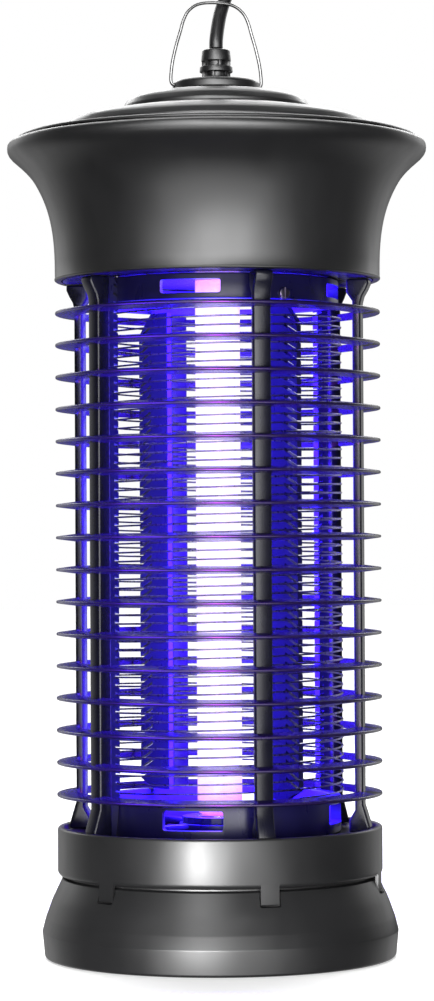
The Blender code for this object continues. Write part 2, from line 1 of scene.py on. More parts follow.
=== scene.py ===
"""Looks of the electric bug zapper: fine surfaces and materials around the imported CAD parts.

Metres, +Z up, in the CAD model's own frame: the front post is at -Y and the bail swings about X.
"""
from math import cos, pi, radians, sin, tan

import bmesh
import bpy
from mathutils import Matrix, Vector


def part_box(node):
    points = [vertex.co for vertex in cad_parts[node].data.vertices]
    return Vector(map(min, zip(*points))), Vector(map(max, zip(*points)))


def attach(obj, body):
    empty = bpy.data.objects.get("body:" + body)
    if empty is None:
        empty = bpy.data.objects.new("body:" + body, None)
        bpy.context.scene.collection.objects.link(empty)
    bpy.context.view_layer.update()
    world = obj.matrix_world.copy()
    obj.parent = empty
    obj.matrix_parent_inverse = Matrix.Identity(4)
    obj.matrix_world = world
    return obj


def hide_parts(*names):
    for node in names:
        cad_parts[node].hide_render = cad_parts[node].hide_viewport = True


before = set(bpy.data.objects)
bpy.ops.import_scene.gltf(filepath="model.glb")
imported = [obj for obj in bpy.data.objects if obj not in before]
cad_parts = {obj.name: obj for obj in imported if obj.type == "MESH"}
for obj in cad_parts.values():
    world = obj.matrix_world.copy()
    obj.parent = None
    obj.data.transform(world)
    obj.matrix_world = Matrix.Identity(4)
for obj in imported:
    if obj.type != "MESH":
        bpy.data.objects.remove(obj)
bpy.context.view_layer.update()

# Camera
VIEW_TURN = radians(-17)        # the camera's place round the object, from -Y
VIEW_DISTANCE = 1.143
VIEW_HEIGHT = 0.146
VIEW_RISE = radians(0.797)
VIEW_SIDE = -0.0005             # how far the camera's aim passes beside the lamp's axis
VIEW_ROLL = radians(-0.30)
FOCAL_MM = 115.1
FILM_MM = 36.0

# Guard
POST_PLACES = (0, 60, 107, 180, 240, 287)    # degrees from the front, towards +X
POST_WIDTH = 0.0064
TAB_COUNT = 6
TAB_STEP = 360 / TAB_COUNT
TAB_WIDTH = 0.0066
FIN_COUNT = 16
FIN_INNER = 0.0508
FIN_TIP = 0.0009
FIN_ROOT = 0.0028

# Grid
WIRE_HELIX = 0.0440
WIRE_RADIUS = 0.00034
WIRE_PITCH = 0.0062
WIRE_TURNS = 27.5
WIRE_START = 0.0582
INNER_COMB_PLACES = (202, 22)
OUTER_COMB_PLACES = (107, 287)
SPOKE_ANGLE = radians(15)
SPOKES = 4

TERMINALS = (    # degrees from the front, and height
    (287, 0.2352), (287, 0.0530), (107, 0.2352), (107, 0.0530), (202, 0.2330), (22, 0.2330),
)

# Bail
BAIL_PIVOT = 0.3099
BAIL_TOP = 0.3401
BAIL_RADIUS = 0.0006

# Light. A place is to the camera's right, away from it, and up.
STUDIO_LIGHTS = (    # name, group lit, place, height of its aim, (width, length), watts
    ("strip", "base", (-0.225, -0.967, -0.03), 0.03, (0.38, 0.42), 25.0),
    ("front_core", "crown", (0.0, -0.95, 0.40), 0.26, (0.60, 0.50), 3.6),
    ("front_mid", "crown", (0.0, -0.97, 0.40), 0.26, (1.30, 0.50), 6.4),
    ("front_wide", "crown", (0.0, -0.99, 0.40), 0.26, (2.40, 0.50), 7.0),
    ("foot_mid", "crown", (0.0, -1.01, 0.40), 0.26, (0.90, 0.26), 2.6),
    ("foot_wide", "crown", (0.0, -1.03, 0.40), 0.26, (2.20, 0.26), 4.0),
    ("fill", None, (0.10, -0.95, 0.15), 0.14, (0.70, 0.30), 3.0),
    ("low", None, (0.0, -0.85, -0.14), 0.27, (1.40, 0.60), 8.0),
    ("above", None, (-0.20, -0.75, 0.72), 0.02, (0.36, 0.40), 4.0),
    ("back_left", None, (-0.75, 0.85, 0.55), 0.15, (0.45, 0.50), 0.6),
    ("back_right", None, (0.75, 0.85, 0.55), 0.15, (0.45, 0.50), 0.6),
    ("top", None, (0.0, 0.30, 1.15), 0.30, (1.2, 0.6), 9.0),
    ("high_back", None, (0.0, 1.00, 0.82), 0.30, (1.4, 0.34), 9.0),
)
FLOOR_SUN = 3.6
FLOOR_SUN_WIDTH = radians(50)
FLOOR_SUN_TILT = radians(-38)
LAMP_GLOWS = 5
LAMP_GLOW_WATTS = 4.0
LAMP_GLOW_RADIUS = 0.009
LAMP_VIOLET = (0.13, 0.035, 1.0)
LOUVRE_GLOW = (    # name, side, ahead, width, watts, colour
    ("glow_front", 0.0, -0.34, 0.085, 3.8, (0.58, 0.05, 1.0)),
    ("glow_left", -0.27, -0.22, 0.200, 5.0, (0.12, 0.03, 1.0)),
)
LOUVRE_GLOW_HEIGHT = 0.142
LOUVRE_GLOW_LENGTH = 0.24

# Cord: the tube's route is the CAD model's, along and across a plane turned about Z
CORD_RADIUS = 0.00245
CORD_TURN = radians(-17)
CORD_ROUTE = (
    (0.0000, 0.0000, 0.3238), (0.0001, 0.0002, 0.3270), (0.0008, 0.0021, 0.3325),
    (0.0018, 0.0042, 0.3375), (0.0036, 0.0060, 0.3430), (0.0078, 0.0076, 0.3520),
    (0.0165, 0.0082, 0.3612),
    (0.0290, 0.0062, 0.3675), (0.0440, 0.0015, 0.3692), (0.0585, -0.0052, 0.3655),
    (0.0710, -0.0132, 0.3565), (0.0798, -0.0212, 0.3435), (0.0850, -0.0282, 0.3270),
    (0.0873, -0.0330, 0.3060), (0.0880, -0.0355, 0.2780), (0.0880, -0.0360, 0.2300),
    (0.0880, -0.0360, 0.1800), (0.0880, -0.0360, 0.1300), (0.0880, -0.0360, 0.0860),
    (0.0880, -0.0355, 0.0540), (0.0882, -0.0330, 0.0330), (0.0889, -0.0265, 0.0155),
    (0.0904, -0.0160, 0.0058), (0.0926, -0.0036, 0.0036),
)
COIL_CENTRE = (0.1290, 0.0100)
COIL_RADII = (0.0334, 0.0285, 0.0236)
COIL_BOTTOM = 0.0016
TURN_STEPS = 28
PLUG_START = 0.0318
PLUG_HEIGHT = 0.0073


# ---------------------------------------------------------------- mesh tools

def mesh_object(name, bm, mat, sharp=32):
    bmesh.ops.remove_doubles(bm, verts=bm.verts, dist=1e-7)
    bmesh.ops.recalc_face_normals(bm, faces=bm.faces)
    mesh = bpy.data.meshes.new(name)
    bm.to_mesh(mesh)
    bm.free()
    mesh.shade_smooth()
    mesh.set_sharp_from_angle(angle=radians(sharp))
    made = bpy.data.objects.new(name, mesh)
    made.data.materials.append(mat)
    bpy.context.scene.collection.objects.link(made)
    return made


def fillet(corners, closed=True, steps=4):
    """Corner points (radius, height, fillet radius) to an outline with round corners."""
    points = []
    count = len(corners)
    for n, (x, z, size) in enumerate(corners):
        if not size or (not closed and n in (0, count - 1)):
            points.append((x, z))
            continue
        here = Vector((x, z))
        back = (Vector(corners[n - 1][:2]) - here).normalized()
        ahead = (Vector(corners[(n + 1) % count][:2]) - here).normalized()
        half = back.angle(ahead) / 2
        reach = size / tan(half)
        centre = here + (back + ahead).normalized() * (size / sin(half))
        start = here + back * reach - centre
        turn = start.angle_signed(here + ahead * reach - centre)
        for step in range(steps + 1):
            angle = -turn * step / steps
            spun = Matrix.Rotation(angle, 2) @ start
            points.append(tuple(centre + spun))
    return points


def lathe(name, outline, mat, steps=160, closed=True, start=0.0, sweep=2 * pi):
    """Turn an outline of (radius, height) points about Z, all round or through a sweep."""
    whole = abs(sweep - 2 * pi) < 1e-6
    columns = steps if whole else steps + 1
    bm = bmesh.new()
    rings = []
    for radius, height in outline:
        if radius < 1e-7:
            rings.append([bm.verts.new((0.0, 0.0, height))] * columns)
            continue
        angles = [start + sweep * n / steps for n in range(columns)]
        rings.append([bm.verts.new((radius * cos(a), radius * sin(a), height)) for a in angles])
    pairs = list(zip(rings, rings[1:]))
    if closed:
        pairs.append((rings[-1], rings[0]))
    for upper, lower in pairs:
        for n in range(steps):
            m = (n + 1) % columns
            corners = [upper[n], upper[m], lower[m], lower[n]]
            unique = list(dict.fromkeys(corners))
            if len(unique) > 2:
                bm.faces.new(unique)
    if not whole:
        for end in (0, -1):
            bm.faces.new([ring[end] for ring in rings])
    return mesh_object(name, bm, mat)


def box(name, size, centre, mat, turn=0.0, bevel=0.0, segments=2):
    bm = bmesh.new()
    bmesh.ops.create_cube(bm, size=1.0)
    bmesh.ops.scale(bm, vec=size, verts=bm.verts)
    if bevel:
        bmesh.ops.bevel(bm, geom=bm.edges, offset=bevel, segments=segments, profile=0.5,
                        affect="EDGES")
    matrix = Matrix.Translation(centre) @ Matrix.Rotation(turn, 4, "Z")
    bmesh.ops.transform(bm, matrix=matrix, verts=bm.verts)
    return mesh_object(name, bm, mat)


def extruded(name, outline, width, mat, turn=0.0, bevel=0.0):
    """A flat outline of (radius, height) points, as thick as width, turned about Z."""
    bm = bmesh.new()
    face = bm.faces.new([bm.verts.new((x, -width / 2, z)) for x, z in outline])
    made = bmesh.ops.extrude_face_region(bm, geom=[face])["geom"]
    moved = [item for item in made if isinstance(item, bmesh.types.BMVert)]
    bmesh.ops.translate(bm, vec=(0.0, width, 0.0), verts=moved)
    if bevel:
        bmesh.ops.recalc_face_normals(bm, faces=bm.faces)
        sharp = [e for e in bm.edges if e.calc_face_angle(0.0) > radians(40)]
        bmesh.ops.bevel(bm, geom=sharp, offset=bevel, segments=3, profile=0.5, affect="EDGES",
                        clamp_overlap=True)
    bmesh.ops.rotate(bm, matrix=Matrix.Rotation(turn, 3, "Z"), verts=bm.verts)
    return mesh_object(name, bm, mat)


def settle(thing):
    """Write a piece's modifiers into its mesh."""
    graph = bpy.context.evaluated_depsgraph_get()
    mesh = bpy.data.meshes.new_from_object(thing.evaluated_get(graph))
    thing.modifiers.clear()
    thing.data = mesh
    return thing


def combine(thing, others, operation):
    """Cut others out of a piece, or join them to it."""
    for other in others:
        step = thing.modifiers.new(other.name, "BOOLEAN")
        step.operation = operation
        step.object = other
    settle(thing)
    for other in others:
        bpy.data.objects.remove(other, do_unlink=True)
    thing.data.shade_smooth()
    thing.data.set_sharp_from_angle(angle=radians(32))
    return thing


def join(name, parts, mat):
    """One object of several closed pieces of one moulding."""
    bm = bmesh.new()
    for part in parts:
        part.data.transform(part.matrix_world)
        bm.from_mesh(part.data)
        bpy.data.objects.remove(part, do_unlink=True)
    return mesh_object(name, bm, mat)


def smooth_path(points, samples):
    """Points along a smooth curve (Catmull-Rom) through a route's points."""
    route = [Vector(point) for point in points]
    route = [2 * route[0] - route[1], *route, 2 * route[-1] - route[-2]]
    path = []
    for before, start, end, after in zip(route, route[1:], route[2:], route[3:]):
        for step in range(samples):
            t = step / samples
            path.append(0.5 * (2 * start + (end - before) * t
                               + (2 * before - 5 * start + 4 * end - after) * t ** 2
                               + (3 * start - before - 3 * end + after) * t ** 3))
    path.append(route[-2])
    return path


def tube(name, path, radius, mat, resolution=4):
    curve = bpy.data.curves.new(name, "CURVE")
    curve.dimensions = "3D"
    curve.bevel_depth = radius
    curve.bevel_resolution = resolution
    curve.use_fill_caps = True
    line = curve.splines.new("POLY")
    line.points.add(len(path) - 1)
    for point, place in zip(line.points, path):
        point.co = (*place, 1.0)
    line.use_smooth = True
    curve.materials.append(mat)
    made = bpy.data.objects.new(name, curve)
    bpy.context.scene.collection.objects.link(made)
    return made


def polar(radius, angle, height=0.0):
    return Vector((radius * cos(angle), radius * sin(angle), height))


def from_front(place):
    return radians(place - 90)


# ---------------------------------------------------------------- materials

def material(name):
    """A node material. Returns it, its tree and its Principled shader."""
    made = bpy.data.materials.new(name)
    made.use_nodes = True
    tree = made.node_tree
    return made, tree, tree.nodes["Principled BSDF"]


def node(tree, kind, **values):
    made = tree.nodes.new(kind)
    for name, value in values.items():
        if name in made.inputs:
            made.inputs[name].default_value = value
        else:
            setattr(made, name, value)
    return made


def noise(tree, scale, detail=3.0, stretch=None):
    """Noise over the object's own coordinates, stretched if asked."""
    where = node(tree, "ShaderNodeTexCoord").outputs["Object"]
    if stretch:
        mapping = node(tree, "ShaderNodeMapping")
        mapping.inputs["Scale"].default_value = stretch
        tree.links.new(where, mapping.inputs["Vector"])
        where = mapping.outputs["Vector"]
    made = node(tree, "ShaderNodeTexNoise", Scale=scale, Detail=detail)
    tree.links.new(where, made.inputs["Vector"])
    return made.outputs["Fac"]


def ramp(tree, source, stops):
    """A colour ramp of (position, colour) stops."""
    made = node(tree, "ShaderNodeValToRGB")
    colours = made.color_ramp.elements
    while len(colours) < len(stops):
        colours.new(0.5)
    for element, (place, colour) in zip(colours, stops):
        element.position = place
        element.color = (*colour, 1.0)
    tree.links.new(source, made.inputs["Fac"])
    return made.outputs["Color"]


def spread(tree, source, low, high, start=0.3, end=0.7):
    """Map a value from start..end to low..high."""
    made = node(tree, "ShaderNodeMapRange")
    for name, value in zip(("From Min", "From Max", "To Min", "To Max"), (start, end, low, high)):
        made.inputs[name].default_value = value
    tree.links.new(source, made.inputs["Value"])
    return made.outputs["Result"]


def bump(tree, shader, source, strength, distance):
    made = node(tree, "ShaderNodeBump", Strength=strength, Distance=distance)
    tree.links.new(source, made.inputs["Height"])
    tree.links.new(made.outputs["Normal"], shader.inputs["Normal"])


def plastic(name, dark, light, rough=(0.30, 0.38), grain=2600.0, depth=0.00002, strength=0.25):
    """Moulded plastic: slow colour drift, uneven gloss and a fine grain."""
    made, tree, shader = material(name)
    drift = noise(tree, 38.0, 4.0)
    tree.links.new(ramp(tree, drift, ((0.32, dark), (0.72, light))), shader.inputs["Base Color"])
    smears = noise(tree, 120.0, 5.0, stretch=(1.0, 1.0, 0.35))
    tree.links.new(spread(tree, smears, *rough), shader.inputs["Roughness"])
    bump(tree, shader, noise(tree, grain, 2.0), strength, depth)
    return made


def metal(name, dark, light, rough=(0.16, 0.30), stretch=(1.0, 1.0, 0.05), scale=900.0):
    """Plated or drawn metal with fine streaks along one axis."""
    made, tree, shader = material(name)
    shader.inputs["Metallic"].default_value = 1.0
    streaks = noise(tree, scale, 3.0, stretch=stretch)
    tree.links.new(ramp(tree, streaks, ((0.30, dark), (0.70, light))), shader.inputs["Base Color"])
    tree.links.new(spread(tree, streaks, *rough), shader.inputs["Roughness"])
    bump(tree, shader, streaks, 0.15, 0.00001)
    return made


def lamp_glass():
    """Phosphor-coated glass that glows: white-violet in the middle, magenta at the ends."""
    made, tree, shader = material("lamp_glass")
    low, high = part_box("uv_lamp_tube")
    where = node(tree, "ShaderNodeTexCoord").outputs["Object"]
    split = node(tree, "ShaderNodeSeparateXYZ")
    tree.links.new(where, split.inputs["Vector"])
    along = spread(tree, split.outputs["Z"], 0.0, 1.0, low.z, high.z)
    glow = ramp(tree, along, ((0.0, (0.60, 0.08, 0.85)), (0.03, (0.85, 0.35, 0.95)),
                              (0.08, (1.0, 0.84, 1.0)), (0.92, (1.0, 0.84, 1.0)),
                              (0.97, (0.85, 0.35, 0.95)), (1.0, (0.60, 0.08, 0.85))))
    tree.links.new(glow, shader.inputs["Emission Color"])
    coating = noise(tree, 240.0, 3.0)
    tree.links.new(spread(tree, coating, 1.02, 1.22), shader.inputs["Emission Strength"])
    tree.links.new(ramp(tree, coating, ((0.3, (0.78, 0.74, 0.90)), (0.7, (0.86, 0.82, 0.95)))),
                   shader.inputs["Base Color"])
    shader.inputs["Roughness"].default_value = 0.12
    shader.inputs["Coat Weight"].default_value = 0.5
    return made


def board_laminate():
    """Green solder mask with paler tracks."""
    made, tree, shader = material("board_laminate")
    where = node(tree, "ShaderNodeTexCoord").outputs["Object"]
    cells = node(tree, "ShaderNodeTexVoronoi", Scale=170.0, feature="DISTANCE_TO_EDGE")
    tree.links.new(where, cells.inputs["Vector"])
    tracks = ramp(tree, cells.outputs["Distance"], ((0.03, (0.05, 0.30, 0.13)),
                                                    (0.06, (0.015, 0.13, 0.05))))
    tree.links.new(tracks, shader.inputs["Base Color"])
    tree.links.new(spread(tree, noise(tree, 300.0), 0.30, 0.45), shader.inputs["Roughness"])
    return made


def floor_material():
    made, tree, shader = material("studio_floor")
    tree.links.new(ramp(tree, noise(tree, 3.0), ((0.3, (0.60, 0.60, 0.60)),
                                                 (0.7, (0.63, 0.63, 0.63)))),
                   shader.inputs["Base Color"])
    shader.inputs["Roughness"].default_value = 0.6
    shader.inputs["Specular IOR Level"].default_value = 0.0
    shader.inputs["Emission Color"].default_value = (1.0, 1.0, 1.0, 1.0)
    shader.inputs["Emission Strength"].default_value = 0.50
    return made


MATS = {
    "charcoal": plastic("charcoal_plastic", (0.0050, 0.0050, 0.0053), (0.0075, 0.0075, 0.0079),
                        rough=(0.34, 0.40)),
    "guard": plastic("guard_plastic", (0.0040, 0.0040, 0.0120), (0.0062, 0.0062, 0.0190),
                     rough=(0.22, 0.30), grain=3200.0),
    "insulator": plastic("grid_insulator", (0.007, 0.006, 0.045), (0.012, 0.010, 0.075),
                         rough=(0.25, 0.36)),
    "rubber": plastic("cord_rubber", (0.003, 0.003, 0.0033), (0.006, 0.006, 0.0066),
                      rough=(0.34, 0.44), grain=1800.0, depth=0.00004),
    "component": plastic("component_plastic", (0.02, 0.02, 0.022), (0.035, 0.035, 0.04)),
    "steel": metal("grid_steel", (0.22, 0.20, 0.26), (0.34, 0.31, 0.40), rough=(0.24, 0.36)),
    "bail": metal("bail_wire", (0.10, 0.10, 0.10), (0.22, 0.22, 0.22), rough=(0.20, 0.34),
                  stretch=(0.05, 1.0, 0.05), scale=2400.0),
    "cap": metal("lamp_cap", (0.60, 0.60, 0.62), (0.80, 0.80, 0.82)),
    "brass": metal("plug_brass", (0.70, 0.52, 0.25), (0.86, 0.68, 0.36)),
    "lamp": lamp_glass(),
    "board": board_laminate(),
}


def piece(thing, body, slot_name, *nodes):
    """A finished piece: what it moves with and the CAD nodes it stands for, which it hides. Its
    material slot name is not used.
    """
    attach(thing, body)
    if nodes:
        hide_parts(*nodes)
    return thing


# ---------------------------------------------------------------- camera and light

def view_place(side, ahead, height):
    """A point given as the camera sees it: to its right, away from it, and up."""
    right = Vector((cos(VIEW_TURN), sin(VIEW_TURN), 0.0))
    away = Vector((-sin(VIEW_TURN), cos(VIEW_TURN), 0.0))
    return right * side + away * ahead + Vector((0.0, 0.0, height))


def make_camera():
    data = bpy.data.cameras.new("camera")
    data.sensor_fit = "VERTICAL"
    data.sensor_height = FILM_MM
    data.lens = FOCAL_MM
    data.clip_start = 0.01
    camera = bpy.data.objects.new("camera", data)
    bpy.context.scene.collection.objects.link(camera)
    camera.location = view_place(VIEW_SIDE, -VIEW_DISTANCE, VIEW_HEIGHT)
    aim = Matrix.Rotation(VIEW_TURN, 4, "Z") @ Matrix.Rotation(pi / 2 + VIEW_RISE, 4, "X")
    camera.rotation_euler = (aim @ Matrix.Rotation(VIEW_ROLL, 4, "Z")).to_euler()
    bpy.context.scene.camera = camera


def area_light(name, place, aim, size, power, colour=(1.0, 1.0, 1.0)):
    """A rectangular light that faces the lamp's axis at the height aim."""
    data = bpy.data.lights.new(name, "AREA")
    data.shape = "RECTANGLE"
    data.size, data.size_y = size
    data.energy = power
    data.color = colour
    light = bpy.data.objects.new(name, data)
    light.location = place
    light.rotation_euler = (Vector((0, 0, aim)) - place).to_track_quat("-Z", "Y").to_euler()
    light.visible_camera = False
    bpy.context.scene.collection.objects.link(light)
    return light


def make_world():
    """White to look at. On the object it is dim, and bright only far behind."""
    world = bpy.data.worlds.new("studio")
    world.use_nodes = True
    tree = world.node_tree
    shader = tree.nodes["Background"]
    where = node(tree, "ShaderNodeTexCoord").outputs["Generated"]
    along = node(tree, "ShaderNodeVectorMath", operation="DOT_PRODUCT")
    along.inputs[1].default_value = (-sin(VIEW_TURN), cos(VIEW_TURN), 0.0)
    tree.links.new(where, along.inputs[0])
    behind = ramp(tree, spread(tree, along.outputs["Value"], 0.0, 1.0, -1.0, 1.0),
                  ((0.0, (0.04, 0.04, 0.04)), (0.64, (0.04, 0.04, 0.04)),
                   (0.82, (0.70, 0.70, 0.70)), (0.95, (0.85, 0.85, 0.85)),
                   (0.985, (0.10, 0.10, 0.10))))
    path = node(tree, "ShaderNodeLightPath")
    mix = node(tree, "ShaderNodeMix", data_type="RGBA")
    tree.links.new(path.outputs["Is Camera Ray"], mix.inputs[0])
    tree.links.new(behind, mix.inputs[6])
    mix.inputs[7].default_value = (1.0, 1.0, 1.0, 1.0)
    tree.links.new(mix.outputs[2], shader.inputs["Color"])
    shader.inputs["Strength"].default_value = 1.0
    bpy.context.scene.world = world


def make_studio(groups):
    """A pale floor, a white surround and plain soft lights."""
    make_world()
    bpy.context.scene.view_settings.view_transform = "Standard"
    bm = bmesh.new()
    bmesh.ops.create_grid(bm, x_segments=8, y_segments=8, size=6.0)
    floor = mesh_object("studio_floor", bm, floor_material())
    floor.location.z = -0.0002
    floor.visible_diffuse = False
    floor.visible_glossy = False
    floor.visible_shadow = False
    for name, group, place, aim, size, power in STUDIO_LIGHTS:
        light = area_light(name, view_place(*place), aim, size, power)
        if group:
            light.light_linking.receiver_collection = groups[group]
    data = bpy.data.lights.new("floor_light", "SUN")
    data.energy = FLOOR_SUN
    data.angle = FLOOR_SUN_WIDTH
    sun = bpy.data.objects.new("floor_light", data)
    sun.rotation_euler = (Matrix.Rotation(VIEW_TURN, 4, "Z")
                          @ Matrix.Rotation(FLOOR_SUN_TILT, 4, "X")).to_euler()
    bpy.context.scene.collection.objects.link(sun)
    ground = bpy.data.collections.new("ground")
    ground.objects.link(floor)
    sun.light_linking.receiver_collection = ground


def make_lamp_light(louvres):
    """The lamp's violet light: small lights along the tube, and its glare on the louvres."""
    low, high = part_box("uv_lamp_tube")
    for n in range(LAMP_GLOWS):
        data = bpy.data.lights.new(f"glow_{n}", "POINT")
        data.energy = LAMP_GLOW_WATTS
        data.shadow_soft_size = LAMP_GLOW_RADIUS
        data.color = LAMP_VIOLET
        light = bpy.data.objects.new(f"glow_{n}", data)
        light.location = (0.0, 0.0, low.z + (high.z - low.z) * (n + 0.5) / LAMP_GLOWS)
        light.visible_camera = False
        light.visible_glossy = False
        bpy.context.scene.collection.objects.link(light)
    for name, side, ahead, width, power, colour in LOUVRE_GLOW:
        glow = area_light(name, view_place(side, ahead, LOUVRE_GLOW_HEIGHT), LOUVRE_GLOW_HEIGHT,
                          (width, LOUVRE_GLOW_LENGTH), power, colour)
        glow.light_linking.receiver_collection = louvres


# ---------------------------------------------------------------- tray and ring

def make_tray():
    """A cup with a coned neck, and a pocket for each snap tab of the ring above it."""
    low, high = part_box("collection_tray")
    radius = (high.x - low.x) / 2
    neck = 0.0546
    wall = 0.0022
    outline = fillet([
        (0.0, 0.0022, 0), (0.0200, 0.0022, 0.0005), (0.0208, 0.0, 0.0004),
        (radius - 0.0010, 0.0, 0.0012), (radius - 0.0001, 0.0092, 0.0016),
        (0.0622, 0.0140, 0.0090), (0.0598, 0.0206, 0.0300), (0.0563, 0.0279, 0.0006),
        (neck, 0.0284, 0),
        (neck, high.z, 0.0004), (neck - wall, high.z, 0.0004), (neck - wall, 0.0262, 0.002),
        (0.0604, 0.0120, 0.004), (0.0604, wall + 0.001, 0.002), (0.0, wall + 0.001, 0)],
        closed=False, steps=6)
    tray = lathe("tray", outline, MATS["charcoal"], steps=192, closed=False)
    depth = 0.0080
    pocket = 0.0562
    cutters = [box(f"pocket_{n}", (depth, TAB_WIDTH + 0.0009, 0.0110),
                   polar(pocket + depth / 2, from_front(TAB_STEP * n), 0.0229 + 0.0055),
                   MATS["charcoal"], turn=from_front(TAB_STEP * n), bevel=0.0005)
               for n in range(TAB_COUNT)]
    combine(tray, cutters, "DIFFERENCE")
    return piece(tray, "tray", "charcoal_plastic", "collection_tray")


def make_lower_ring():
    """A band with a flange inside it and a snap tab for each pocket of the tray."""
    low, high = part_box("lower_ring")
    radius = 0.05785
    skin = radius - 0.00003
    bottom, top = 0.0290, high.z
    inner = 0.0553
    flange = 0.0440
    outline = fillet([
        (radius, bottom, 0.0019), (radius, top, 0.0009), (inner, top, 0.0006),
        (inner, flange, 0.0004), (0.0395, flange, 0.0004), (0.0395, flange - 0.002, 0.0003),
        (inner, flange - 0.002, 0.0004), (inner, bottom, 0.0004)], steps=5)
    ring = lathe("ring_band", outline, MATS["charcoal"], steps=192)
    half = TAB_WIDTH / 2 / radius
    parts = [ring]
    for n in range(TAB_COUNT):
        outline = fillet([(skin, low.z, 0.0004), (skin, bottom + 0.0030, 0),
                          (radius - 0.0011, bottom + 0.0030, 0),
                          (radius - 0.0011, low.z, 0.0003)], steps=3)
        parts.append(lathe(f"tab_{n}", outline, MATS["charcoal"], steps=8,
                           start=from_front(TAB_STEP * n) - half, sweep=2 * half))
    return piece(join("lower_band", parts, MATS["charcoal"]), "root", "charcoal_plastic",
                 "lower_ring")


# ---------------------------------------------------------------- guard

def make_posts():
    """Upright bars that bend out at both ends. Those behind a comb are plain at the back."""
    for n, place in enumerate(POST_PLACES, 1):
        low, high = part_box(f"guard_post_{n}")
        bottom, top = low.z, high.z
        back = 0.0494
        outline = [(0.0473, bottom), (0.0547, bottom), (0.0547, bottom + 0.0025),
                   (0.0536, bottom + 0.0062), (0.0524, bottom + 0.0100), (0.0524, 0.2312),
                   (0.0530, 0.2336), (0.0543, 0.2358), (0.0553, 0.2380), (0.0553, top),
                   (0.0473, top), (0.0473, 0.2350), (back, 0.2320), (back, bottom + 0.0080),
                   (0.0473, bottom + 0.0045)]
        if place in OUTER_COMB_PLACES:
            outline = outline[:11]      # straight down the back, from its top corner
        post = extruded(f"post_{n}", outline, POST_WIDTH, MATS["guard"],
                        turn=from_front(place), bevel=0.0008)
        piece(post, "root", "guard_plastic", f"guard_post_{n}")


def make_fins():
    """Louvre rings, one moulding with the posts: a wedge section with a round lip."""
    louvres = bpy.data.collections.new("louvres")
    for n in range(1, FIN_COUNT + 1):
        name = f"guard_fin_{n:02d}"
        low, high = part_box(name)
        height = (low.z + high.z) / 2
        outer = high.x
        root, tip = FIN_ROOT / 2, FIN_TIP / 2
        outline = fillet([
            (FIN_INNER, height - root, 0.0003), (outer - 0.0012, height - tip - 0.0002, 0.002),
            (outer, height - tip, 0.0004), (outer, height + tip, 0.0004),
            (outer - 0.0012, height + tip + 0.0002, 0.002), (FIN_INNER, height + root, 0.0003)],
            steps=3)
        fin = lathe(f"fin_{n:02d}", outline, MATS["guard"], steps=150)
        piece(fin, "root", "guard_plastic", name)
        louvres.objects.link(fin)
    return louvres


# ---------------------------------------------------------------- grid and lamp

def make_grid_frames():
    """Windowed rings that hold the combs. The lower one has spokes to the lamp's hub."""
    mat = MATS["insulator"]
    inner, outer = 0.0396, 0.0432
    spoke_turns = [SPOKE_ANGLE + n * 2 * pi / SPOKES for n in range(SPOKES)]
    window_turns = [SPOKE_ANGLE + pi / SPOKES + n * 2 * pi / SPOKES for n in range(SPOKES)]
    for name, node_name, sill, lintel in (("frame_lower", "grid_base_frame", 0.0476, 0.0545),
                                          ("frame_upper", "grid_top_frame", 0.2330, 0.2378)):
        low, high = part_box(node_name)
        bottom, top = low.z, high.z
        ring = lathe(name, fillet([(outer, bottom, 0.0005), (outer, top, 0.0005),
                                   (inner, top, 0.0005), (inner, bottom, 0.0005)], steps=3),
                     mat, steps=144)
        cutters = [box(f"{name}_{n}", (0.0120, 0.0215, lintel - sill),
                       polar(outer, turn, (sill + lintel) / 2), mat, turn=turn, bevel=0.0008)
                   for n, turn in enumerate(window_turns)]
        combine(ring, cutters, "DIFFERENCE")
        if name == "frame_lower":
            hub = lathe("hub", fillet([(0.0145, bottom, 0.0004), (0.0145, bottom + 0.003, 0.0004),
                                       (0.0112, bottom + 0.003, 0.0004),
                                       (0.0112, bottom, 0.0004)]), mat, steps=64)
            reach = inner + 0.0010 - 0.0130
            spokes = [box(f"spoke_{n}", (reach, 0.0040, 0.0026),
                          polar(0.0130 + reach / 2, turn, bottom + 0.0015), mat, turn=turn,
                          bevel=0.0004)
                      for n, turn in enumerate(spoke_turns)]
            ring = join(name + "_whole", [ring, hub, *spokes], mat)
        piece(ring, "root", "grid_insulator", node_name)


def comb_outline(inner, reach, bottom, top, first, slant, gap):
    """A strip with a slot for each wire. reach is the toothed edge, slant the slot's rise."""
    depth = abs(reach - inner) * 0.42
    edge = reach - depth if reach > inner else reach + depth
    points = [(inner, bottom), (edge, bottom)]
    height = first
    while height + slant + gap < top - 0.0012:
        if height > bottom + 0.0012:
            points += [(reach, height - gap / 2), (edge, height + slant - gap / 2),
                       (edge, height + slant + gap / 2), (reach, height + gap / 2)]
        height += WIRE_PITCH / 2
    points += [(edge, top), (inner, top)]
    clean = [points[0], points[1]]
    for point in points[2:]:
        if point[1] > clean[-1][1] or point[0] != clean[-1][0]:
            clean.append(point)
    return clean


